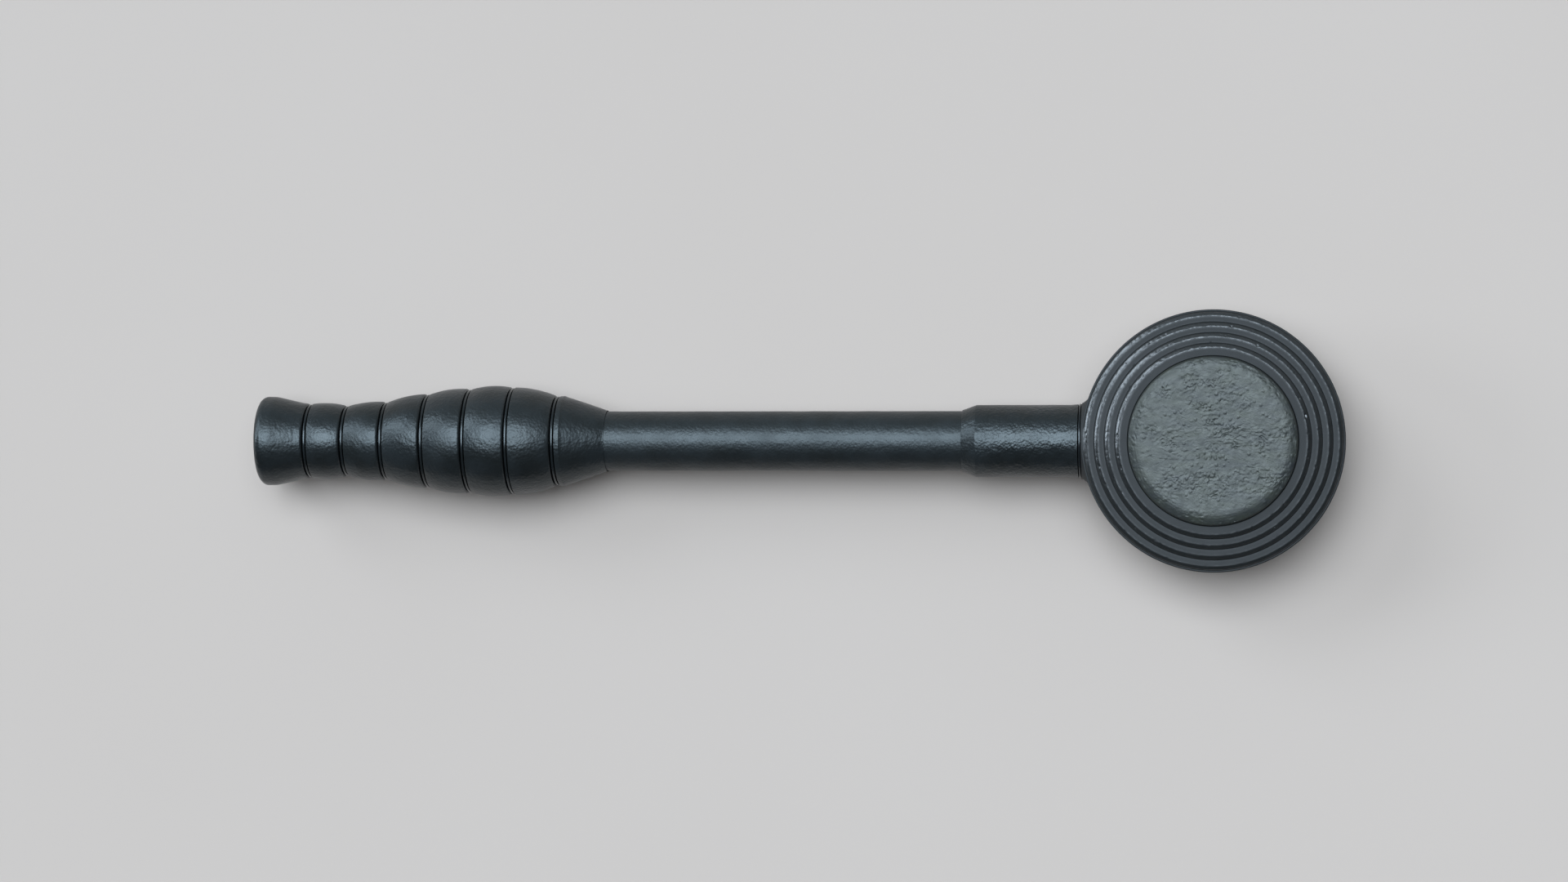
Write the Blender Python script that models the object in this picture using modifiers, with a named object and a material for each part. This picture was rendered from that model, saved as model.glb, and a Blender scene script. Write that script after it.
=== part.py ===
"""Reflex hammer: a weighted disc head with a stepped rubber bumper, on a handle of stacked grip rings.

The handle runs along X with the head at +X. The disc's flat faces look up and down, so the hammer
lies on the lower face of its head. The origin is on that surface, under the middle of the object.
"""
import math

import bmesh
import bpy

MM = 0.001
TURN = 2 * math.pi

# Driving dimensions, in metres. Places along the handle are X values.
LENGTH = 240 * MM
HEAD_RADIUS = 28.4 * MM          # outer radius of the bumper ring
HEAD_HALF = 12.3 * MM            # half of the head's thickness, and the height of the handle's axis
GRIP_STATIONS = (                # (place, radius) of the seams of the grip, butt first
    (-108.7 * MM, 8.35 * MM),
    (-100.4 * MM, 7.95 * MM),
    (-91.5 * MM, 8.75 * MM),
    (-82.0 * MM, 10.5 * MM),
    (-72.5 * MM, 11.6 * MM),
    (-62.8 * MM, 11.95 * MM),
    (-52.8 * MM, 10.05 * MM),
)
SHAFT_RADIUS = 6.6 * MM
COLLAR_RADIUS = 7.93 * MM
ROD_RADIUS = 2.5 * MM            # M5 tie rod of the grip
STUD_RADIUS = 3.0 * MM           # M6 stud of the head

# Gaps.
FACE_GAP = 0.2 * MM              # between end faces of the stack
SEAT_GAP = 0.15 * MM             # between the faces that the head is tightened on
LOOSE = 0.1 * MM                 # radial clearance of a plain hole
SNUG = 0.05 * MM                 # radial clearance of a thread or a pushed-in piece

# Grip.
SPACER_THICKNESS = 0.55 * MM
SPACER_DROP = 0.2 * MM           # how far a spacer's rim lies under the seam's radius
RING_CROWN = 0.042               # rise of a ring's middle, as a share of its radius
RING_EDGE = 0.3 * MM
RING_SHARES = (0.75, 0.5, 0.25)   # where the crown's profile has points between its two edges
BUTT_END = -LENGTH / 2
BUTT_RADIUS = 9.98 * MM
BUTT_EDGE = 1.5 * MM
BUTT_SHOULDER = -117.2 * MM
BUTT_WAIST = (-112.8 * MM, 9.2 * MM)
INSERT_RADIUS = 4.0 * MM
INSERT_REAR = -117.2 * MM
ROD_REAR = -116.6 * MM
ROD_FRONT = -37.0 * MM

# Nose cone and shaft.
NOSE_FRONT = -41.7 * MM
NOSE_LIP = 0.25 * MM             # thickness of the cone's front edge
NOSE_SHOULDER = -51.3 * MM
NOSE_ROUND = 1.3 * MM            # length of the soft corner between the shoulder and the cone
NOSE_CONE = (-48.4 * MM, 9.07 * MM)
NOSE_SEAT = -48.8 * MM
BUSH_FLANGE = 1.0 * MM
BUSH_DEPTH = 11.0 * MM
SHAFT_REAR = -47.4 * MM
SHAFT_FRONT = 57.0 * MM
SHAFT_WALL = 1.6 * MM

# Collar, washer and stud.
COLLAR_REAR = 37.0 * MM
COLLAR_TAPER = 3.1 * MM
COLLAR_LIP = 0.2 * MM            # thickness of the collar's rear edge
COLLAR_FRONT = 62.45 * MM
COLLAR_FLARE = (61.2 * MM, 8.08 * MM)
WASHER_THICKNESS = 0.4 * MM
WASHER_RADIUS = 8.15 * MM
STUD_REAR = 46.0 * MM
STUD_FRONT = 83.5 * MM

# Head.
HEAD_X = LENGTH / 2 - HEAD_RADIUS
CORE_RADIUS = 18.3 * MM
CORE_SHOULDER = 2.0 * MM
FLANGE_RADIUS = 23.5 * MM
FLANGE_HALF = 3.0 * MM
CORE_GAP = 0.2 * MM
STEP_START = 19.95 * MM          # inner radius of the first step of the bumper
STEP_PITCH = 2.28 * MM
STEP_RUN = 0.85 * MM
STEP_COUNT = 4
BAND_TOP = 10.6 * MM             # height of the innermost band over the middle plane
RIM_TOP = 8.0 * MM               # height of the ledge outside the last step
RIM_ROUND = 0.7 * MM
NECK_FILLET = 3.8 * MM           # plan radius of the flare from the neck into the rim
NECK_FLARE = 0.96                # share of the flare's quarter circle that the neck follows
NECK_SUNK = 0.2 * MM             # how far the neck's flat faces end under the ledge
NECK_FLATNESS = 0.5              # how much smaller its corners get on the way to the rim
NECK_STATIONS = 5
NECK_POINTS = 32
NECK_DEPTH = 66.9 * MM           # where the neck ends, inside the bumper
SLEEVE_RADIUS = 5.5 * MM
SLEEVE_SEAT = HEAD_X - 17.6 * MM
TAP_DEPTH = 10.6 * MM            # depth of the tapped hole in the core, past the sleeve's seat

# Steps of a full turn.
FINE = 48
COARSE = 32

WASHER_REAR = COLLAR_FRONT + SEAT_GAP
NECK_FACE = WASHER_REAR + WASHER_THICKNESS + SEAT_GAP


def new_collection(name):
    collection = bpy.data.collections.new(name)
    bpy.context.scene.collection.children.link(collection)
    return collection


def new_material(name, colour, roughness, metallic=0.0):
    material = bpy.data.materials.new(name)
    material.use_nodes = True
    shader = material.node_tree.nodes["Principled BSDF"]
    shader.inputs["Base Color"].default_value = (*colour, 1.0)
    shader.inputs["Roughness"].default_value = roughness
    shader.inputs["Metallic"].default_value = metallic
    return material


def arc(centre, radius, start, end, count):
    """Points on an arc in the profile plane; angles in degrees, from the radial direction."""
    points = []
    for i in range(count + 1):
        angle = math.radians(start + (end - start) * i / count)
        points.append((centre[0] + radius * math.cos(angle), centre[1] + radius * math.sin(angle)))
    return points


def turned(name, profile, material, collection, along_x=True, centre_x=0.0, steps=COARSE):
    """Turn a profile of (radius, place) points, which runs down its outer side, about an axis.

    A profile whose first and last points are both on the axis stays open. Any other is closed.
    """
    mesh = bpy.data.meshes.new(name)
    solid = profile[0][0] == 0.0 and profile[-1][0] == 0.0
    edges = [(i, i + 1) for i in range(len(profile) - 1)]
    if not solid:
        edges.append((len(profile) - 1, 0))
    mesh.from_pydata([(radius, 0.0, place) for radius, place in profile], edges, [])
    mesh.materials.append(material)
    piece = bpy.data.objects.new(name, mesh)
    collection.objects.link(piece)
    piece.location = (centre_x, 0.0, HEAD_HALF)
    if along_x:
        piece.rotation_euler = (0.0, math.pi / 2, 0.0)
    screw = piece.modifiers.new("turn", "SCREW")
    screw.axis = "Z"
    screw.angle = TURN
    screw.steps = steps
    screw.render_steps = steps
    screw.use_merge_vertices = True
    screw.merge_threshold = 0.00001
    screw.use_smooth_shade = True
    return piece


def rod(name, radius, rear, front, material, collection):
    profile = [(0.0, front), (radius, front), (radius, rear), (0.0, rear)]
    return turned(name, profile, material, collection)


def tube(name, outer, bore, rear, front, material, collection):
    profile = [(outer, front), (outer, rear), (bore, rear), (bore, front)]
    return turned(name, profile, material, collection)


def combine(piece, tool, operation):
    """Cut a piece with a tool or join the two. The tool stays in its collection as a guide."""
    tool.hide_render = True
    tool.display_type = "WIRE"
    boolean = piece.modifiers.new(operation.lower(), "BOOLEAN")
    boolean.operation = operation
    boolean.object = tool
    boolean.solver = "EXACT"


def face_of_stack(place, side):
    """Where a ring's end face lies beside the seam at a place; side is -1 behind it, 1 in front."""
    return place + side * (SPACER_THICKNESS / 2 + FACE_GAP)


def make_butt(material, metal, collection):
    """The flared end cap, and the threaded insert that screws on the rear of the tie rod."""
    seam_x, seam_radius = GRIP_STATIONS[0]
    front = face_of_stack(seam_x, -1)
    corner = (BUTT_RADIUS - BUTT_EDGE, BUTT_END + BUTT_EDGE)
    pocket = INSERT_RADIUS + SNUG
    profile = [
        (seam_radius - RING_EDGE, front),
        (seam_radius, front - RING_EDGE),
        (BUTT_WAIST[1], BUTT_WAIST[0]),
        (BUTT_RADIUS - SNUG, BUTT_SHOULDER),
        *arc(corner, BUTT_EDGE, 0, -90, 4),
        (0.0, BUTT_END),
    ]
    cap = [(0.0, INSERT_REAR - FACE_GAP), (pocket, INSERT_REAR - FACE_GAP), (pocket, front), *profile]
    turned("butt_cap", cap, material, collection)
    tube("butt_insert", INSERT_RADIUS, ROD_RADIUS + SNUG, INSERT_REAR, front - FACE_GAP, metal, collection)


def make_spacers(material, collection):
    """The thin hard rings in the seams of the grip."""
    for number, (place, radius) in enumerate(GRIP_STATIONS, start=1):
        rear = place - SPACER_THICKNESS / 2
        front = place + SPACER_THICKNESS / 2
        rim = radius - SPACER_DROP
        tube(f"grip_spacer_{number}", rim, ROD_RADIUS + LOOSE, rear, front, material, collection)


def ring_radius(start, end, share):
    """Outer radius of a crowned ring, a share of the way between two seams."""
    straight = start[1] + (end[1] - start[1]) * share
    return straight + RING_CROWN * (start[1] + end[1]) / 2 * 4 * share * (1 - share)


def make_rings(material, collection):
    """The crowned rings of the grip, which swell from a waist to a bulge."""
    bore = ROD_RADIUS + LOOSE
    for number, (start, end) in enumerate(zip(GRIP_STATIONS, GRIP_STATIONS[1:]), start=1):
        rear = face_of_stack(start[0], 1)
        front = face_of_stack(end[0], -1)
        length = front - rear
        profile = [(end[1] - RING_EDGE, front)]
        for share in (1 - RING_EDGE / length, *RING_SHARES, RING_EDGE / length):
            profile.append((ring_radius(start, end, share), rear + length * share))
        profile += [(start[1] - RING_EDGE, rear), (bore, rear), (bore, front)]
        turned(f"grip_ring_{number}", profile, material, collection)


def make_nose(material, collection):
    """The cone in front of the grip, bored for the tie rod and counterbored for the shaft."""
    seam_x, seam_radius = GRIP_STATIONS[-1]
    rear = face_of_stack(seam_x, 1)
    socket = SHAFT_RADIUS + SNUG
    bore = ROD_RADIUS + LOOSE
    profile = [
        (socket + NOSE_LIP, NOSE_FRONT),
        (NOSE_CONE[1], NOSE_CONE[0]),
        (seam_radius - RING_EDGE / 2, NOSE_SHOULDER + NOSE_ROUND),
        (seam_radius, NOSE_SHOULDER),
        (seam_radius - RING_EDGE, rear),
        (bore, rear),
        (bore, NOSE_SEAT),
        (socket, NOSE_SEAT),
        (socket, NOSE_FRONT),
    ]
    turned("grip_nose", profile, material, collection)


def make_shaft(skin, metal, collection):
    """The shaft tube, the bushes in its two ends, and the tie rod that the rear bush anchors."""
    bore = SHAFT_RADIUS - SHAFT_WALL
    tube("shaft_tube", SHAFT_RADIUS, bore, SHAFT_REAR, SHAFT_FRONT, skin, collection)
    flange_front = SHAFT_REAR - FACE_GAP
    flange_rear = flange_front - BUSH_FLANGE
    front = SHAFT_REAR + BUSH_DEPTH
    tapped = ROD_RADIUS + SNUG
    body = bore - SNUG
    profile = [
        (body, front),
        (body, flange_front),
        (SHAFT_RADIUS - SNUG, flange_front),
        (SHAFT_RADIUS - SNUG, flange_rear),
        (tapped, flange_rear),
        (tapped, front),
    ]
    turned("rear_bush", profile, metal, collection)
    tube("front_bush", body, STUD_RADIUS + SNUG, STUD_REAR - MM, SHAFT_FRONT, metal, collection)
    rod("tie_rod", ROD_RADIUS, ROD_REAR, ROD_FRONT, metal, collection)


def make_collar(skin, metal, collection):
    """The ferrule over the shaft's front end, the washer in front of it and the head's stud."""
    sleeve = SHAFT_RADIUS + SNUG
    bore = STUD_RADIUS + LOOSE
    wall = SHAFT_FRONT + FACE_GAP
    profile = [
        (COLLAR_FLARE[1], COLLAR_FRONT),
        (COLLAR_RADIUS, COLLAR_FLARE[0]),
        (COLLAR_RADIUS, COLLAR_REAR + COLLAR_TAPER),
        (sleeve + COLLAR_LIP, COLLAR_REAR),
        (sleeve, COLLAR_REAR),
        (sleeve, wall),
        (bore, wall),
        (bore, COLLAR_FRONT),
    ]
    turned("collar", profile, skin, collection)
    washer_front = WASHER_REAR + WASHER_THICKNESS
    tube("neck_washer", WASHER_RADIUS, bore, WASHER_REAR, washer_front, metal, collection)
    rod("head_stud", STUD_RADIUS, STUD_REAR, STUD_FRONT, metal, collection)


def bumper_face():
    """(radius, height) points of the bumper's upper face, from the hole out to the rim."""
    drop = (BAND_TOP - RIM_TOP) / STEP_COUNT
    points = [(CORE_RADIUS + CORE_GAP, BAND_TOP)]
    for step in range(STEP_COUNT):
        inner = STEP_START + step * STEP_PITCH
        top = BAND_TOP - step * drop
        points.append((inner, top))
        points.append((inner + STEP_RUN, top - drop))
    points += arc((HEAD_RADIUS - RIM_ROUND, RIM_TOP - RIM_ROUND), RIM_ROUND, 90, 0, 2)[1:]
    return points


def neck_half_width(place):
    """Half width of the neck in plan: an arc that leaves the collar's line and meets the rim."""
    rise = COLLAR_RADIUS + NECK_FILLET
    reach = math.sqrt((HEAD_RADIUS + NECK_FILLET) ** 2 - rise ** 2)
    flare_start = HEAD_X - reach
    along = max(0.0, min(place - flare_start, NECK_FLARE * NECK_FILLET))
    return rise - math.sqrt(NECK_FILLET ** 2 - along ** 2)


def neck_section(place, share):
    """Round at the face of the neck, and a rounded oblong where it meets the rim."""
    half_width = neck_half_width(place)
    round_end = neck_half_width(NECK_FACE)
    half_height = round_end + share * (RIM_TOP - NECK_SUNK - round_end)
    corner = half_height * (1 - NECK_FLATNESS * share)
    points = []
    for i in range(NECK_POINTS):
        angle = TURN * (i + 0.5) / NECK_POINTS
        y = math.copysign(half_width - corner, math.cos(angle)) + corner * math.cos(angle)
        z = math.copysign(half_height - corner, math.sin(angle)) + corner * math.sin(angle)
        points.append((place, y, HEAD_HALF + z))
    return points


def make_neck_tool(collection):
    """The neck of the bumper, lofted from the round face to the oblong inside the rim."""
    shape = bmesh.new()
    rows = []
    for i in range(NECK_STATIONS):
        share = i / (NECK_STATIONS - 1)
        place = NECK_FACE + (NECK_DEPTH - NECK_FACE) * share
        rows.append([shape.verts.new(point) for point in neck_section(place, share)])
    for row, further in zip(rows, rows[1:]):
        for i in range(NECK_POINTS):
            after = (i + 1) % NECK_POINTS
            shape.faces.new((row[i], row[after], further[after], further[i]))
    shape.faces.new(reversed(rows[0]))
    shape.faces.new(rows[-1])
    bmesh.ops.recalc_face_normals(shape, faces=shape.faces)
    mesh = bpy.data.meshes.new("neck_shape")
    shape.to_mesh(mesh)
    shape.free()
    tool = bpy.data.objects.new("neck_shape", mesh)
    collection.objects.link(tool)
    return tool


def make_bumper(material, collection, tools):
    """The rubber tyre: a stepped ring with a slot for the core's flange and a neck to the rear."""
    upper = bumper_face()
    lower = [(radius, -height) for radius, height in reversed(upper)]
    hole = CORE_RADIUS + CORE_GAP
    slot_radius = FLANGE_RADIUS + FACE_GAP
    slot_half = FLANGE_HALF + FACE_GAP
    slot = [(hole, -slot_half), (slot_radius, -slot_half), (slot_radius, slot_half), (hole, slot_half)]
    profile = upper + lower + slot
    ring = turned("bumper_ring", profile, material, collection, False, HEAD_X, FINE)
    combine(ring, make_neck_tool(tools), "UNION")
    drill_end = HEAD_X - CORE_RADIUS + MM
    drill = rod("neck_drill", SLEEVE_RADIUS + LOOSE, NECK_FACE - MM, drill_end, material, tools)
    combine(ring, drill, "DIFFERENCE")


def make_core(material, metal, collection, tools):
    """The cast core: a plateau on both faces, a flange inside the bumper and a tapped hole."""
    edge = (CORE_RADIUS - CORE_SHOULDER, HEAD_HALF - CORE_SHOULDER)
    upper = [(0.0, HEAD_HALF)] + arc(edge, CORE_SHOULDER, 90, 0, 4)
    upper += [(CORE_RADIUS, FLANGE_HALF), (FLANGE_RADIUS, FLANGE_HALF)]
    profile = upper + [(radius, -height) for radius, height in reversed(upper)]
    core = turned("head_core", profile, material, collection, False, HEAD_X, FINE)
    seat_radius = SLEEVE_RADIUS + LOOSE
    rim = HEAD_X - FLANGE_RADIUS - MM
    tap_end = SLEEVE_SEAT + TAP_DEPTH
    tap = STUD_RADIUS + SNUG
    profile = [(0.0, tap_end), (tap, tap_end), (tap, SLEEVE_SEAT), (seat_radius, SLEEVE_SEAT)]
    profile += [(seat_radius, rim), (0.0, rim)]
    combine(core, turned("tap_drill", profile, material, tools), "DIFFERENCE")
    bore = STUD_RADIUS + LOOSE
    seat = SLEEVE_SEAT - SEAT_GAP
    tube("neck_sleeve", SLEEVE_RADIUS, bore, NECK_FACE, seat, metal, collection)


def main():
    for leftover in list(bpy.data.objects):
        bpy.data.objects.remove(leftover)
    parts = new_collection("reflex_hammer")
    tools = new_collection("cutters")
    grip = new_material("grip_rubber", (0.030, 0.032, 0.034), 0.38)
    gloss = new_material("black_gloss", (0.028, 0.029, 0.031), 0.22)
    skin = new_material("shaft_coat", (0.032, 0.034, 0.036), 0.34)
    rubber = new_material("bumper_rubber", (0.045, 0.048, 0.050), 0.55)
    cast = new_material("core_cast", (0.090, 0.094, 0.096), 0.60, 0.3)
    steel = new_material("steel", (0.55, 0.55, 0.56), 0.30, 1.0)
    brass = new_material("brass", (0.62, 0.48, 0.22), 0.30, 1.0)
    make_butt(grip, brass, parts)
    make_spacers(gloss, parts)
    make_rings(grip, parts)
    make_nose(grip, parts)
    make_shaft(skin, steel, parts)
    make_collar(skin, steel, parts)
    make_bumper(rubber, parts, tools)
    make_core(cast, steel, parts, tools)


main()
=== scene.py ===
"""Looks of the reflex hammer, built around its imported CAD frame.

Each CAD piece that shows is replaced by a finer one of the same size: turned profiles with rounded
edges, a stepped rubber bumper with a worn edge on each step, and a rough cast core.
All lengths are in metres. The handle runs along X, and the hammer lies on its head's lower face.
"""

import math

import bpy
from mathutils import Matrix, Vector, noise


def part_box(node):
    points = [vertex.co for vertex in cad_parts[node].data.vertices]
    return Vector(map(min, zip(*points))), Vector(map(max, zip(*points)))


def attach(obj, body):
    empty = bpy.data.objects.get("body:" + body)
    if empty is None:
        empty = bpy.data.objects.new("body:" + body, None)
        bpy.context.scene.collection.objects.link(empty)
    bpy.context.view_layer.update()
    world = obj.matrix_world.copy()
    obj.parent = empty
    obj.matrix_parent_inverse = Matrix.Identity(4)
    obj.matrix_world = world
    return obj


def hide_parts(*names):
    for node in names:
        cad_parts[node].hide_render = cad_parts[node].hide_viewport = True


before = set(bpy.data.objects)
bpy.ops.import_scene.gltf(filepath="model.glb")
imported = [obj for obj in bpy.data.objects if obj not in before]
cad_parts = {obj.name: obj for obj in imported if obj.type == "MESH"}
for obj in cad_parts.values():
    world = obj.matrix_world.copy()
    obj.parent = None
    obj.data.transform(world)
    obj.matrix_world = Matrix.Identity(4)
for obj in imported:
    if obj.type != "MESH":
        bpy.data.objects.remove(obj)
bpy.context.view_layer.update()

MM = 0.001
TURN = 2 * math.pi

CORE_LOW, CORE_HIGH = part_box("head_core")
RIM_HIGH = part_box("bumper_ring")[1]
AXIS_HEIGHT = (CORE_LOW.z + CORE_HIGH.z) / 2
HEAD_HALF = CORE_HIGH.z - AXIS_HEIGHT
RIM_RADIUS = RIM_HIGH.y
HEAD_X = RIM_HIGH.x - RIM_RADIUS

# Clearances and small steps of the CAD pieces, which the finer pieces keep.
SPACER_DROP = 0.2 * MM           # a spacer's rim lies this far under the seam's radius
BORE_CLEARANCE = 0.1 * MM
SEAT_CLEARANCE = 0.2 * MM        # between the end of a piece and the seat it lies in
SOCKET_CLEARANCE = 0.05 * MM
COLLAR_LIP = 0.15 * MM           # how far the collar's two ends stand out


# Shapes.

def span(node):
    """Rear end, front end and outer radius of a CAD node that is turned about the handle's axis."""
    low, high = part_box(node)
    return low.x, high.x, high.y


def filleted(corners, step=12.0):
    """Outline through (radius, place, fillet) corners, each rounded by an arc of its own radius.

    The first and last corners have no fillet. Each arc has a point about every step degrees.
    """
    outline = []
    for i, (radius, place, fillet) in enumerate(corners):
        corner = Vector((radius, place))
        if fillet == 0.0:
            outline.append(tuple(corner))
            continue
        back = (Vector(corners[i - 1][:2]) - corner).normalized()
        ahead = (Vector(corners[i + 1][:2]) - corner).normalized()
        half = back.angle(ahead) / 2
        centre = corner + (back + ahead).normalized() * fillet / math.sin(half)
        start = corner + back * fillet / math.tan(half) - centre
        swing = start.angle_signed(corner + ahead * fillet / math.tan(half) - centre)
        count = max(2, round(abs(math.degrees(swing)) / step))
        for k in range(count + 1):
            turned_by = -swing * k / count
            cosine, sine = math.cos(turned_by), math.sin(turned_by)
            outline.append((
                centre.x + start.x * cosine - start.y * sine,
                centre.y + start.x * sine + start.y * cosine,
            ))
    return outline


def flowing(points, count=6):
    """A smooth curve through points, with some more points in each stretch."""
    ends = [points[0], *points, points[-1]]
    curve = []
    for a, b, c, d in zip(ends, ends[1:], ends[2:], ends[3:]):
        for k in range(count):
            t = k / count
            curve.append(tuple(
                (2 * q + (r - p) * t + (2 * p - 5 * q + 4 * r - s) * t * t
                 + (3 * q - p - 3 * r + s) * t ** 3) / 2
                for p, q, r, s in zip(a, b, c, d)
            ))
    return curve + [points[-1]]


def divided(outline, spacing, closed=False):
    """The same outline with no stretch longer than the spacing."""
    pairs = list(zip(outline, outline[1:] + outline[:1] if closed else outline[1:]))
    finer = []
    for start, end in pairs:
        count = max(1, math.ceil(math.dist(start, end) / spacing))
        for k in range(count):
            finer.append(tuple(a + (b - a) * k / count for a, b in zip(start, end)))
    return finer if closed else finer + [outline[-1]]


def woven(name, rows, looped=False):
    """A closed skin over rows of points, each as long as the others or one point at a pole.

    Its faces look outwards where the rows run along +X or +Z and turn right-handed about it.
    """
    points = [point for row in rows for point in row]
    numbered = []
    first = 0
    for row in rows:
        numbered.append(range(first, first + len(row)))
        first += len(row)
    steps = max(len(row) for row in rows)
    after_each = numbered[1:] + numbered[:1] if looped else numbered[1:]
    faces = []
    for row, further in zip(numbered, after_each):
        for k in range(steps):
            after = (k + 1) % steps
            corners = [row[k % len(row)], row[after % len(row)]]
            corners += [further[after % len(further)], further[k % len(further)]]
            faces.append(list(dict.fromkeys(corners)))
    mesh = bpy.data.meshes.new(name)
    mesh.from_pydata(points, [], faces)
    piece = bpy.data.objects.new(name, mesh)
    bpy.context.scene.collection.objects.link(piece)
    return piece


def turned(name, outline, steps, about_x=True):
    """Turn an outline of (radius, place) points that runs down its outer side.

    Places are X values about the handle's axis, or heights over the head's middle plane.
    An outline that starts and ends on the axis stays open. Any other closes round its bore.
    """
    rows = []
    for radius, place in reversed(outline):
        row = []
        for k in range(1 if radius == 0.0 else steps):
            angle = TURN * k / steps
            across, along = radius * math.cos(angle), radius * math.sin(angle)
            if about_x:
                row.append((place, across, AXIS_HEIGHT + along))
            else:
                row.append((HEAD_X + across, along, AXIS_HEIGHT + place))
        rows.append(row)
    solid = len(rows[0]) == 1 and len(rows[-1]) == 1
    return woven(name, rows, looped=not solid)


def combined(piece, tool, operation):
    """Join a piece with a closed tool or cut it, for good, and remove the tool."""
    boolean = piece.modifiers.new(operation.lower(), "BOOLEAN")
    boolean.operation = operation
    boolean.object = tool
    boolean.solver = "MANIFOLD"
    bpy.context.view_layer.update()
    evaluated = piece.evaluated_get(bpy.context.evaluated_depsgraph_get())
    result = bpy.data.meshes.new_from_object(evaluated)
    piece.modifiers.clear()
    piece.data = result
    bpy.data.objects.remove(tool)


def marked(piece, name, strength):
    """Store strength(place), from 0 to 1, on each vertex, for the materials to read."""
    attribute = piece.data.attributes.new(name, "FLOAT", "POINT")
    attribute.data.foreach_set("value", [strength(vertex.co) for vertex in piece.data.vertices])


def displaced(piece, relief):
    """Move each vertex along its normal by relief(place), in metres."""
    moves = [vertex.normal * relief(vertex.co) for vertex in piece.data.vertices]
    for vertex, move in zip(piece.data.vertices, moves):
        vertex.co += move


def finished(piece, material, body, nodes, sharp=40.0):
    """Shade a piece smooth with crisp corners, give it its material and body, and hide the CAD
    nodes it replaces.
    """
    piece.data.shade_smooth()
    piece.data.set_sharp_from_angle(angle=math.radians(sharp))
    piece.data.materials.clear()
    piece.data.materials.append(material)
    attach(piece, body)
    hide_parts(*nodes)


# Materials.

class Nodes:
    """A material's node tree, with short calls for the nodes that the materials here share."""

    def __init__(self, name):
        self.material = bpy.data.materials.new(name)
        self.material.use_nodes = True
        self.tree = self.material.node_tree
        self.shader = self.tree.nodes["Principled BSDF"]
        self.place = self.tree.nodes.new("ShaderNodeTexCoord").outputs["Object"]

    def link(self, output, socket):
        self.tree.links.new(output, socket)

    def noise(self, size, detail=2.0, rough=0.5, stretch=(1.0, 1.0, 1.0)):
        """Noise from 0 to 1 whose lumps are about a size across, longer along a stretched axis."""
        mapping = self.tree.nodes.new("ShaderNodeMapping")
        mapping.inputs["Scale"].default_value = [1.0 / s for s in stretch]
        self.link(self.place, mapping.inputs["Vector"])
        node = self.tree.nodes.new("ShaderNodeTexNoise")
        node.inputs["Scale"].default_value = 1.0 / size
        node.inputs["Detail"].default_value = detail
        node.inputs["Roughness"].default_value = rough
        self.link(mapping.outputs["Vector"], node.inputs["Vector"])
        return node.outputs["Fac"]

    def cells(self, size):
        """Distance to the nearest of scattered points: round dimples about a size across."""
        node = self.tree.nodes.new("ShaderNodeTexVoronoi")
        node.feature = "SMOOTH_F1"
        node.inputs["Scale"].default_value = 1.0 / size
        node.inputs["Smoothness"].default_value = 0.4
        self.link(self.place, node.inputs["Vector"])
        return node.outputs["Distance"]

    def spread(self, value, low, high, start=0.3, end=0.7):
        """Map a value between start and end to numbers between low and high."""
        node = self.tree.nodes.new("ShaderNodeMapRange")
        node.inputs["From Min"].default_value = start
        node.inputs["From Max"].default_value = end
        node.inputs["To Min"].default_value = low
        node.inputs["To Max"].default_value = high
        self.link(value, node.inputs["Value"])
        return node.outputs["Result"]

    def product(self, first, second):
        node = self.tree.nodes.new("ShaderNodeMath")
        node.operation = "MULTIPLY"
        self.link(first, node.inputs[0])
        self.link(second, node.inputs[1])
        return node.outputs["Value"]

    def colours(self, value, stops):
        """A colour for each value, from (position, colour) stops."""
        node = self.tree.nodes.new("ShaderNodeValToRGB")
        ramp = node.color_ramp
        while len(ramp.elements) < len(stops):
            ramp.elements.new(0.5)
        for element, (position, colour) in zip(ramp.elements, stops):
            element.position = position
            element.color = (*colour, 1.0)
        self.link(value, node.inputs["Fac"])
        return node.outputs["Color"]

    def bump(self, height, depth, under=None):
        """Relief of a depth in metres, laid over another bump's normal."""
        node = self.tree.nodes.new("ShaderNodeBump")
        node.inputs["Strength"].default_value = 1.0
        node.inputs["Distance"].default_value = depth
        self.link(height, node.inputs["Height"])
        if under is not None:
            self.link(under, node.inputs["Normal"])
        return node.outputs["Normal"]


def coated(name, roughness, depth):
    """Black coating or moulded rubber with a leathery grain that breaks up its highlight."""
    nodes = Nodes(name)
    shader = nodes.shader
    stops = [(0.35, (0.006, 0.007, 0.007)), (0.65, (0.010, 0.012, 0.013))]
    nodes.link(nodes.colours(nodes.noise(5 * MM, detail=4.0), stops), shader.inputs["Base Color"])
    patches = nodes.noise(9 * MM, detail=3.0)
    rough = nodes.spread(patches, roughness - 0.05, roughness + 0.07)
    nodes.link(rough, shader.inputs["Roughness"])
    swells = nodes.bump(nodes.noise(1.3 * MM, detail=1.0), depth * 2.0)
    leather = nodes.bump(nodes.cells(0.55 * MM), depth, swells)
    fine = nodes.bump(nodes.noise(0.25 * MM, detail=2.0), depth * 0.35, leather)
    nodes.link(fine, shader.inputs["Normal"])
    shader.inputs["IOR"].default_value = 1.48
    shader.inputs["Specular Tint"].default_value = (0.90, 1.0, 1.02, 1.0)
    return nodes.material


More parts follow.
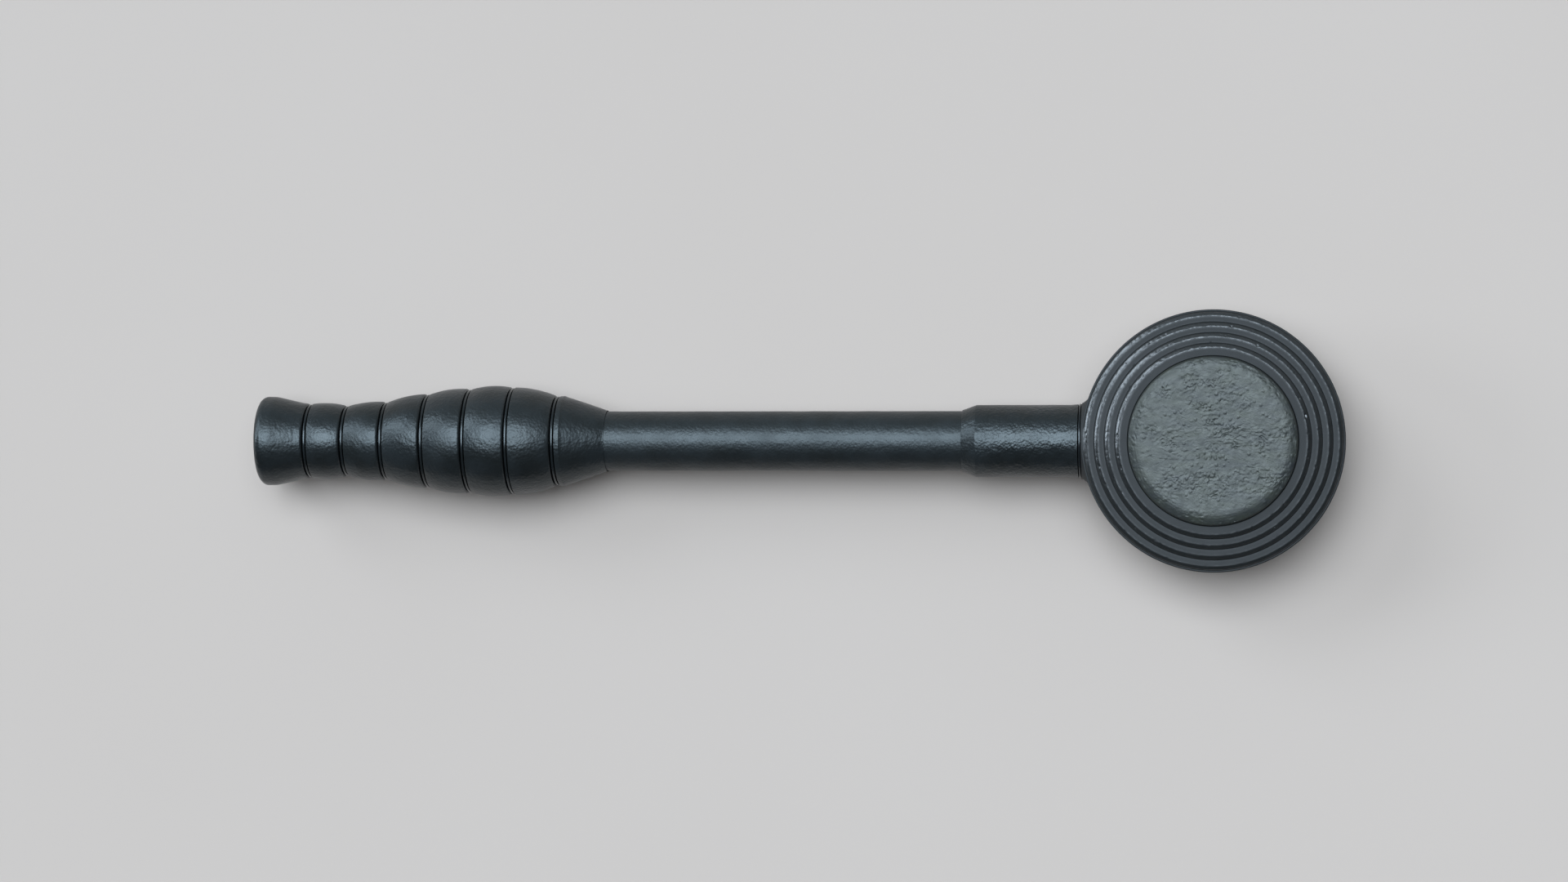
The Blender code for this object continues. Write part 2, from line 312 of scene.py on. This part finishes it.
def satin_rubber():
    """Bumper rubber: matt on its bands, and rubbed smooth along the edges of its steps."""
    nodes = Nodes("bumper_satin_rubber")
    shader = nodes.shader
    bloom = nodes.noise(4 * MM, detail=5.0, rough=0.6)
    stops = [(0.30, (0.006, 0.007, 0.007)), (0.70, (0.010, 0.011, 0.011))]
    nodes.link(nodes.colours(bloom, stops), shader.inputs["Base Color"])
    wear = nodes.tree.nodes.new("ShaderNodeAttribute")
    wear.attribute_name = "wear"
    uneven_wear = nodes.spread(nodes.noise(0.7 * MM, detail=3.0), 0.5, 1.4)
    rubbed = nodes.product(wear.outputs["Fac"], uneven_wear)
    rough = nodes.spread(rubbed, 0.66, 0.30, start=0.0, end=0.5)
    nodes.link(rough, shader.inputs["Roughness"])
    polish = nodes.spread(rubbed, 0.0, 1.0, start=0.2, end=0.7)
    nodes.link(polish, shader.inputs["Coat Weight"])
    shader.inputs["Coat Roughness"].default_value = 0.24
    coarse = nodes.bump(nodes.noise(1.2 * MM, detail=3.0), 0.02 * MM)
    fine = nodes.bump(nodes.noise(0.25 * MM, detail=3.0, rough=0.6), 0.006 * MM, coarse)
    nodes.link(fine, shader.inputs["Normal"])
    return nodes.material


def cast_core():
    """Rough casting under a thick dark coat, with faint streaks along X."""
    nodes = Nodes("core_painted_casting")
    shader = nodes.shader
    streaks = nodes.noise(2.2 * MM, detail=4.0, rough=0.6, stretch=(3.0, 1.0, 1.0))
    stops = [(0.32, (0.017, 0.019, 0.021)), (0.68, (0.026, 0.029, 0.023))]
    nodes.link(nodes.colours(streaks, stops), shader.inputs["Base Color"])
    rough = nodes.spread(nodes.noise(1.5 * MM, detail=4.0), 0.33, 0.46)
    nodes.link(rough, shader.inputs["Roughness"])
    grain = nodes.noise(0.6 * MM, detail=4.0, rough=0.6, stretch=(1.4, 1.0, 1.0))
    pits = nodes.bump(grain, 0.05 * MM)
    fine = nodes.bump(nodes.noise(0.2 * MM, detail=2.0, rough=0.6), 0.012 * MM, pits)
    nodes.link(fine, shader.inputs["Normal"])
    shader.inputs["Specular Tint"].default_value = (0.90, 0.92, 0.86, 1.0)
    return nodes.material


def machined(name, dark, light, roughness):
    """Bare turned metal with fine marks around the axis and a little tarnish."""
    nodes = Nodes(name)
    shader = nodes.shader
    tarnish = nodes.noise(3 * MM, detail=4.0)
    nodes.link(nodes.colours(tarnish, [(0.3, dark), (0.7, light)]), shader.inputs["Base Color"])
    shader.inputs["Metallic"].default_value = 1.0
    marks = nodes.noise(0.12 * MM, detail=2.0, stretch=(1.0, 60.0, 60.0))
    nodes.link(nodes.spread(marks, roughness - 0.06, roughness + 0.10), shader.inputs["Roughness"])
    nodes.link(nodes.bump(marks, 0.004 * MM), shader.inputs["Normal"])
    return nodes.material


def pale_floor():
    nodes = Nodes("floor_pale")
    shader = nodes.shader
    tone = nodes.noise(120 * MM, detail=2.0)
    stops = [(0.3, (0.466, 0.396, 0.348)), (0.7, (0.474, 0.404, 0.356))]
    nodes.link(nodes.colours(tone, stops), shader.inputs["Base Color"])
    shader.inputs["Roughness"].default_value = 0.9
    shader.inputs["Specular IOR Level"].default_value = 0.0
    return nodes.material


# Grip.

RING_COUNT = 6
SPACER_COUNT = 7
HANDLE_STEPS = 192               # points round the handle's pieces
HANDLE_SPACING = 0.7 * MM        # longest stretch of their outlines
SLOW_DEPTH = 0.035 * MM          # mean depths of the skin's two waves
QUICK_DEPTH = 0.012 * MM
END_ROUND = 0.6 * MM             # rounding of a ring's front end
START_ROUND = 0.12 * MM          # and of its rear end, which meets the next spacer closely
RING_CROWN = 0.042               # rise of a ring's middle, as a share of its radius
RING_STATIONS = 12
BEAD_ROUND = 0.35                # rounding of a spacer's rim, as a share of its width
BUTT_DISH = 0.25 * MM            # how far the butt's end face is sunk


def handle_wobble(place):
    """Slow unevenness of the handle's moulded skin, always inwards."""
    slow = noise.noise(place / (4.5 * MM))
    quick = noise.noise(place / (1.9 * MM) + Vector((7.0, 3.0, 5.0)))
    return -SLOW_DEPTH * (1 + slow) - QUICK_DEPTH * (1 + quick)


def seam_radius(number):
    return span(f"grip_spacer_{number}")[2] + SPACER_DROP


def skinned(piece, bore):
    """Give the outer skin of a handle piece its unevenness, and leave its bore alone."""
    def relief(place):
        radius = math.hypot(place.y, place.z - AXIS_HEIGHT)
        return handle_wobble(place) if radius > bore + MM else 0.0
    displaced(piece, relief)


def make_butt(material):
    rear, front, radius = span("butt_cap")
    seam = seam_radius(1)
    pocket = span("butt_insert")[2] + SOCKET_CLEARANCE
    floor = span("butt_insert")[0] - SEAT_CLEARANCE
    outline = filleted([
        (pocket, front, 0.0),
        (seam, front, END_ROUND),
        (seam + 0.25 * MM, front - 1.6 * MM, 3.0 * MM),
        (radius - 0.05 * MM, rear + 3.4 * MM, 4.0 * MM),
        (radius, rear, 1.7 * MM),
        (radius - 3.5 * MM, rear, 1.0 * MM),
        (radius - 4.0 * MM, rear + BUTT_DISH, 1.0 * MM),
        (0.0, rear + BUTT_DISH, 0.0),
    ])
    outline = [(0.0, floor), (pocket, floor), *outline]
    piece = turned("butt_cap_skin", divided(outline, HANDLE_SPACING), HANDLE_STEPS)
    skinned(piece, pocket)
    finished(piece, material, "butt", ["butt_cap"])


def make_spacers(material):
    bore = span("tie_rod")[2] + BORE_CLEARANCE
    for number in range(1, SPACER_COUNT + 1):
        rear, front, radius = span(f"grip_spacer_{number}")
        bead = BEAD_ROUND * (front - rear)
        outline = filleted([
            (bore, front, 0.0),
            (radius, front, bead),
            (radius, rear, bead),
            (bore, rear, 0.0),
        ], step=15.0)
        piece = turned(f"grip_spacer_bead_{number}", outline, HANDLE_STEPS)
        body = "tail" if number == 1 else "handle"
        finished(piece, material, body, [f"grip_spacer_{number}"])


def make_rings(material):
    bore = span("tie_rod")[2] + BORE_CLEARANCE
    for number in range(1, RING_COUNT + 1):
        rear, front, _ = span(f"grip_ring_{number}")
        start, end = seam_radius(number), seam_radius(number + 1)
        crown = RING_CROWN * (start + end) / 2
        corners = [(bore, front, 0.0), (end, front, END_ROUND)]
        for k in range(RING_STATIONS - 1, 0, -1):
            share = k / RING_STATIONS
            radius = start + (end - start) * share + crown * 4 * share * (1 - share)
            corners.append((radius, rear + (front - rear) * share, 0.0))
        corners += [(start, rear, START_ROUND), (bore, rear, 0.0)]
        outline = divided(filleted(corners), HANDLE_SPACING)
        piece = turned(f"grip_ring_skin_{number}", outline, HANDLE_STEPS)
        skinned(piece, bore)
        finished(piece, material, "handle", [f"grip_ring_{number}"])


def make_nose(material):
    rear, front, radius = span("grip_nose")
    socket = span("shaft_tube")[2] + SOCKET_CLEARANCE
    bore = span("tie_rod")[2] + BORE_CLEARANCE
    seat = span("rear_bush")[0] - SEAT_CLEARANCE
    cone = [
        (socket + 0.08 * MM, front),
        (socket + 0.95 * MM, front - 2.4 * MM),
        (9.05 * MM, front - 6.7 * MM),
        (9.75 * MM, front - 8.9 * MM),
        (radius - 0.03 * MM, rear + 1.1 * MM),
    ]
    outline = flowing(cone) + filleted([
        (radius - 0.03 * MM, rear + 1.0 * MM, 0.0),
        (radius - 0.08 * MM, rear, START_ROUND),
        (bore, rear, 0.0),
    ])
    outline += [(bore, seat), (socket, seat)]
    piece = turned("grip_nose_skin", divided(outline, HANDLE_SPACING, closed=True), HANDLE_STEPS)
    skinned(piece, socket - MM)
    finished(piece, material, "handle", ["grip_nose"])


# Shaft and collar.

TUBE_WALL = 1.6 * MM
WASHER_ROUND = 0.3               # rounding of the washer's rim, as a share of its width
THREAD_ROWS = 8                  # rows of points along one turn of a thread
THREAD_STEPS = 48
THREAD_FULLNESS = 0.8            # under 1 makes the grooves wider than the crests
PLAIN_ROWS = 12                  # a plain stretch keeps one row in this many


def make_shaft(material):
    rear, front, radius = span("shaft_tube")
    bore = radius - TUBE_WALL
    outline = filleted([
        (bore, front, 0.0),
        (radius, front, 0.3 * MM),
        (radius, rear, 0.3 * MM),
        (bore, rear, 0.0),
    ])
    piece = turned("shaft_skin", divided(outline, HANDLE_SPACING), HANDLE_STEPS)
    skinned(piece, bore)
    finished(piece, material, "handle", ["shaft_tube"])


def make_collar(material):
    rear, front, radius = span("collar")
    sleeve = span("shaft_tube")[2] + SOCKET_CLEARANCE
    bore = span("head_stud")[2] + BORE_CLEARANCE
    wall = span("shaft_tube")[1] + SEAT_CLEARANCE
    plain = radius - COLLAR_LIP
    outline = filleted([
        (bore, front, 0.0),
        (radius, front, 0.12 * MM),
        (plain, front - 1.6 * MM, 3.0 * MM),
        (plain, rear + 3.1 * MM, 0.8 * MM),
        (sleeve + COLLAR_LIP, rear, 0.1 * MM),
        (sleeve, rear, 0.0),
        (sleeve, wall, 0.0),
        (bore, wall, 0.0),
    ])
    piece = turned("collar_skin", divided(outline, HANDLE_SPACING, closed=True), HANDLE_STEPS)
    skinned(piece, sleeve - 0.8 * MM)
    finished(piece, material, "handle", ["collar"])


def make_washer(material):
    rear, front, radius = span("neck_washer")
    bore = span("head_stud")[2] + BORE_CLEARANCE
    bead = WASHER_ROUND * (front - rear)
    outline = filleted([
        (bore, front, 0.0),
        (radius, front, bead),
        (radius, rear, bead),
        (bore, rear, 0.0),
    ])
    piece = turned("neck_washer_ring", outline, HANDLE_STEPS)
    finished(piece, material, "neck", ["neck_washer"])


def make_thread(name, node, pitch, depth, rear_length, front_length, material):
    """A steel rod of the handle, threaded over a length from each end."""
    rear, front, crest = span(node)
    step = pitch / THREAD_ROWS
    rows = [[(rear, 0.0, AXIS_HEIGHT)]]
    for number in range(round((front - rear) / step) + 1):
        place = min(rear + number * step, front)
        plain = rear + rear_length <= place <= front - front_length
        chamfer = max(0.0, depth - min(place - rear, front - place))
        row = []
        for k in range(THREAD_STEPS):
            angle = TURN * k / THREAD_STEPS
            phase = (place / pitch + k / THREAD_STEPS) % 1.0
            cut = depth * (1 - abs(2 * phase - 1)) ** THREAD_FULLNESS
            radius = crest - (0.0 if plain else max(cut, chamfer))
            row.append((place, radius * math.cos(angle), AXIS_HEIGHT + radius * math.sin(angle)))
        if not plain or number % PLAIN_ROWS == 0:
            rows.append(row)
    rows.append([(front, 0.0, AXIS_HEIGHT)])
    piece = woven(name, rows)
    finished(piece, material, "handle", [node])


# Head.

STEP_COUNT = 4
STEP_START = 20.15 * MM          # radius where the first step of the bumper begins
STEP_PITCH = 2.28 * MM
STEP_EDGE = (                    # a step's rubbed edge: (mm outwards, share of the drop)
    (0.0, 0.0), (0.12, 0.03), (0.24, 0.09), (0.38, 0.19),
    (0.53, 0.32), (0.68, 0.47), (0.82, 0.67), (0.91, 1.0),
)
STEP_ROUND = STEP_EDGE[-1][0] * MM
CREASE_WIDTH = 0.14 * MM         # the crease at a step's foot
CREASE_DEPTH = 0.06 * MM
BAND_TOP = 10.6 * MM             # heights over the head's middle plane
RIM_TOP = 8.0 * MM
RIM_ROUND = 0.3 * MM
BUMPER_STEPS = 640               # points round the tyre
BUMPER_SPACING = 0.5 * MM
WEAR_MIDDLE = 0.45 * MM          # where on an edge the rubbing is strongest
WEAR_REACH = 0.65 * MM
RAGGED_DEPTH = 0.05 * MM
NICK_DEPTH = 0.5 * MM
NICK_LEVEL = 0.38                # noise above this level cuts a nick

CORE_RADIUS = 18.3 * MM
HOLE_RADIUS = CORE_RADIUS + 0.02 * MM
HOLE_LIP = 0.15 * MM
SHOULDER_WIDTH = 1.9 * MM        # the plateau's sloping edge
SHOULDER_FALL = 0.62 * MM
SHOULDER_ROUND = 6.0 * MM
EDGE_ROUND = 0.65 * MM
SWELL = 0.05 * MM                # heights of the casting's features
CREASE = 0.13 * MM
LUMP = 0.06 * MM
GRAIN = 0.05 * MM
STREAK = 1.4                     # how much longer creases and grain are along X
CASTING_SUNK = 0.22 * MM         # keeps the relief under the core's true faces
CORE_STEPS = 560                 # points round the core
CORE_SPACING = 0.15 * MM
FLANGE_HALF = 3.0 * MM           # half the thickness of the flange inside the tyre

NECK_FILLET = 3.8 * MM
NECK_FLARE = 0.96                # share of the flare's quarter circle that the neck follows
NECK_DEPTH = 3.75 * MM           # how far the neck runs into the bumper
NECK_SUNK = 0.2 * MM             # how far its inner end lies under the rim's top
NECK_FLATNESS = 0.5              # how much squarer its inner end is than a circle
NECK_STATIONS = 14
NECK_POINTS = 96


def head_radius(place):
    return math.hypot(place.x - HEAD_X, place.y)


def bumper_face():
    """(radius, height) points of the bumper's stepped face, from the core out to the rim."""
    drop = (BAND_TOP - RIM_TOP) / STEP_COUNT
    points = [(HOLE_RADIUS, BAND_TOP - HOLE_LIP), (HOLE_RADIUS + HOLE_LIP, BAND_TOP)]
    for step in range(STEP_COUNT):
        inner = STEP_START + step * STEP_PITCH
        top = BAND_TOP - step * drop
        for outwards, share in STEP_EDGE:
            points.append((inner + outwards * MM, top - drop * share))
        points.append((inner + STEP_ROUND + CREASE_WIDTH / 2, top - drop - CREASE_DEPTH))
        points.append((inner + STEP_ROUND + CREASE_WIDTH, top - drop))
    rim = filleted([
        (points[-1][0], RIM_TOP, 0.0),
        (RIM_RADIUS, RIM_TOP, RIM_ROUND),
        (RIM_RADIUS, 0.0, 0.0),
    ])
    return points + rim[1:-1]


def neck_half_width(place):
    """Half width of the neck in plan: an arc that leaves the collar's line and meets the rim."""
    rise = span("collar")[2] - COLLAR_LIP + NECK_FILLET
    flare_start = HEAD_X - math.sqrt((RIM_RADIUS + NECK_FILLET) ** 2 - rise ** 2)
    along = max(0.0, min(place - flare_start, NECK_FLARE * NECK_FILLET))
    return rise - math.sqrt(NECK_FILLET ** 2 - along ** 2)


def neck_shape():
    """The neck of the bumper, lofted from its round face to an oblong inside the rim."""
    face = span("neck_sleeve")[0]
    round_end = neck_half_width(face)
    rows = [[(face, 0.0, AXIS_HEIGHT)]]
    for station in range(NECK_STATIONS):
        share = station / (NECK_STATIONS - 1)
        place = face + NECK_DEPTH * share
        half_width = neck_half_width(place)
        half_height = round_end + share * (RIM_TOP - NECK_SUNK - round_end)
        corner = half_height * (1 - NECK_FLATNESS * share)
        row = []
        for i in range(NECK_POINTS):
            angle = TURN * (i + 0.5) / NECK_POINTS
            y = math.copysign(half_width - corner, math.cos(angle)) + corner * math.cos(angle)
            z = math.copysign(half_height - corner, math.sin(angle)) + corner * math.sin(angle)
            row.append((place, y, AXIS_HEIGHT + z))
        rows.append(row)
    rows.append([(face + NECK_DEPTH, 0.0, AXIS_HEIGHT)])
    return woven("neck_shape", rows)


def step_wear(place):
    """1 on the rounded edge of each step, fading to 0 on the bands."""
    radius = head_radius(place)
    if abs(place.z - AXIS_HEIGHT) < RIM_TOP - MM or radius < CORE_RADIUS + MM:
        return 0.0
    before = STEP_PITCH / 4
    past_start = (radius - STEP_START + before) % STEP_PITCH - before
    return max(0.0, 1 - abs(past_start - WEAR_MIDDLE) / WEAR_REACH)


def step_relief(place):
    """Ragged step edges with small nicks."""
    wear = step_wear(place)
    if wear == 0.0:
        return 0.0
    ragged = noise.noise(place / (0.8 * MM))
    nick = noise.noise(place / (0.42 * MM) + Vector((3.1, 8.7, 1.3))) - NICK_LEVEL
    return -wear * (RAGGED_DEPTH * (1 + ragged) + NICK_DEPTH * max(0.0, nick))


def make_bumper(material):
    flange = CORE_HIGH.x - HEAD_X + SEAT_CLEARANCE
    slot_half = FLANGE_HALF + SEAT_CLEARANCE
    upper = bumper_face()
    lower = [(radius, -height) for radius, height in reversed(upper)]
    slot = [
        (HOLE_RADIUS, -slot_half),
        (flange, -slot_half),
        (flange, slot_half),
        (HOLE_RADIUS, slot_half),
    ]
    outline = divided(upper + lower, BUMPER_SPACING) + slot
    piece = turned("bumper_tyre", outline, BUMPER_STEPS, about_x=False)
    displaced(piece, step_relief)
    combined(piece, neck_shape(), "UNION")
    rear, front, radius = span("neck_sleeve")
    radius += BORE_CLEARANCE
    start, end = rear - MM, front + 2 * MM
    bore = [(0.0, end), (radius, end), (radius, start), (0.0, start)]
    combined(piece, turned("neck_bore", bore, NECK_POINTS), "DIFFERENCE")
    marked(piece, "wear", step_wear)
    finished(piece, material, "head", ["bumper_ring"])


def clipped(value):
    return max(0.0, min(1.0, value))


def uneven(place, size, seed):
    """Noise between about -1 and 1 with lumps of a size, different for each seed."""
    return noise.noise(place / size + Vector((seed, 2.3 * seed, 5.1 * seed)))


def casting_relief(place):
    """Rough casting on the two plateaus: low swells, short creases, scattered lumps and grain."""
    over_band = abs(place.z - AXIS_HEIGHT) - BAND_TOP
    if over_band < 0.0:
        return 0.0
    streaked = Vector((place.x / STREAK, place.y, place.z))
    towards_front = (place.x - HEAD_X) / CORE_RADIUS
    rough = clipped(0.35 + 0.25 * towards_front + 2.4 * uneven(place, 5 * MM, 1.0))
    crease = clipped(1 - abs(uneven(streaked, 0.75 * MM, 2.0)) / 0.12)
    crease *= clipped(3.0 * uneven(streaked, 1.9 * MM, 3.0)) * (0.2 + 0.8 * rough)
    lump = clipped(2.0 - 5.0 * noise.voronoi(place / (1.1 * MM))[0][0])
    lump *= clipped(0.4 + 4 * uneven(place, 2.4 * MM, 4.0))
    grain = uneven(streaked, 0.6 * MM, 5.0) + 0.6 * uneven(place, 0.36 * MM, 6.0)
    grain *= 0.2 + rough
    swell = uneven(place, 3.2 * MM, 7.0)
    height = SWELL * swell - CREASE * crease + LUMP * lump + GRAIN * grain
    return min(1.0, over_band / MM) * (height - CASTING_SUNK)


def make_core(material):
    flange = CORE_HIGH.x - HEAD_X
    upper = filleted([
        (0.0, HEAD_HALF, 0.0),
        (CORE_RADIUS - SHOULDER_WIDTH, HEAD_HALF, SHOULDER_ROUND),
        (CORE_RADIUS, HEAD_HALF - SHOULDER_FALL, EDGE_ROUND),
        (CORE_RADIUS, BAND_TOP - MM, 0.0),
    ], step=7.0)
    upper = divided(upper, CORE_SPACING) + [(CORE_RADIUS, FLANGE_HALF), (flange, FLANGE_HALF)]
    outline = upper + [(radius, -height) for radius, height in reversed(upper)]
    piece = turned("core_casting", outline, CORE_STEPS, about_x=False)
    displaced(piece, casting_relief)
    finished(piece, material, "head", ["head_core"], sharp=60.0)


# Camera, light and floor.

CAMERA_PLACE = (0.09835, 0.0, AXIS_HEIGHT + 0.85807)
CAMERA_TILT = 6.7                # degrees about Y
FOCAL_LENGTH = 90                # both in millimetres, as Blender has them
SENSOR_WIDTH = 36
SUNS = (                         # name, energy, angle of its disc, direction towards it
    ("key_left", 2.35, 42.0, (-0.21, 0.24, 1.0)),
    ("key_right", 1.80, 42.0, (0.08, 0.22, 1.0)),
    ("side_upper", 1.05, 26.0, (-1.20, 1.03, 1.0)),
    ("side_lower", 1.05, 23.0, (-3.00, 0.55, 1.0)),
)
SUN_COLOUR = (0.74, 0.87, 1.0)
SKY_COLOURS = ((0.08, 0.09, 0.10, 1.0), (0.36, 0.42, 0.46, 1.0))
FLOOR_REACH = 2.0                # metres from the centre to each side


def make_camera():
    camera = bpy.data.cameras.new("camera")
    camera.lens = FOCAL_LENGTH
    camera.sensor_width = SENSOR_WIDTH
    holder = bpy.data.objects.new("camera", camera)
    holder.location = CAMERA_PLACE
    holder.rotation_euler = (0.0, math.radians(CAMERA_TILT), 0.0)
    bpy.context.scene.collection.objects.link(holder)
    bpy.context.scene.camera = holder


def make_light():
    for name, energy, angle, towards in SUNS:
        sun = bpy.data.lights.new(name, "SUN")
        sun.angle = math.radians(angle)
        sun.energy = energy
        sun.color = SUN_COLOUR
        holder = bpy.data.objects.new(name, sun)
        holder.rotation_euler = Vector(towards).to_track_quat("Z", "Y").to_euler()
        bpy.context.scene.collection.objects.link(holder)
    world = bpy.data.worlds.new("studio")
    world.use_nodes = True
    tree = world.node_tree
    direction = tree.nodes.new("ShaderNodeTexCoord")
    split = tree.nodes.new("ShaderNodeSeparateXYZ")
    glow = tree.nodes.new("ShaderNodeValToRGB")
    for element, colour in zip(glow.color_ramp.elements, SKY_COLOURS):
        element.color = colour
    tree.links.new(direction.outputs["Generated"], split.inputs["Vector"])
    tree.links.new(split.outputs["Y"], glow.inputs["Fac"])
    tree.links.new(glow.outputs["Color"], tree.nodes["Background"].inputs["Color"])
    bpy.context.scene.world = world
    bpy.context.scene.view_settings.view_transform = "Standard"


def make_floor():
    mesh = bpy.data.meshes.new("floor")
    signs = ((-1, -1), (1, -1), (1, 1), (-1, 1))
    corners = [(FLOOR_REACH * x, FLOOR_REACH * y, 0.0) for x, y in signs]
    mesh.from_pydata(corners, [], [(0, 1, 2, 3)])
    mesh.materials.append(pale_floor())
    floor = bpy.data.objects.new("floor", mesh)
    bpy.context.scene.collection.objects.link(floor)


make_camera()
make_light()
make_floor()

grip = coated("grip_moulded_rubber", roughness=0.34, depth=0.040 * MM)
coat = coated("shaft_leathery_coat", roughness=0.41, depth=0.036 * MM)
glaze = coated("collar_leathery_coat", roughness=0.33, depth=0.060 * MM)
gloss = coated("spacer_gloss", roughness=0.20, depth=0.004 * MM)
steel = machined("turned_steel", (0.42, 0.43, 0.44), (0.58, 0.59, 0.60), 0.28)
brass = machined("turned_brass", (0.48, 0.36, 0.15), (0.66, 0.52, 0.26), 0.30)
rubber = satin_rubber()
cast = cast_core()

make_butt(grip)
make_spacers(gloss)
make_rings(grip)
make_nose(grip)
make_shaft(coat)
make_collar(glaze)
make_washer(gloss)
make_thread("tie_rod_threaded", "tie_rod", 0.8 * MM, 0.45 * MM, 14 * MM, 12 * MM, steel)
make_thread("head_stud_threaded", "head_stud", 1.0 * MM, 0.55 * MM, 14 * MM, 24 * MM, steel)
make_bumper(rubber)
make_core(cast)

inner_metals = {"neck_sleeve": steel, "butt_insert": brass, "rear_bush": steel, "front_bush": steel}
for node, metal in inner_metals.items():
    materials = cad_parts[node].data.materials
    materials.clear()
    materials.append(metal)
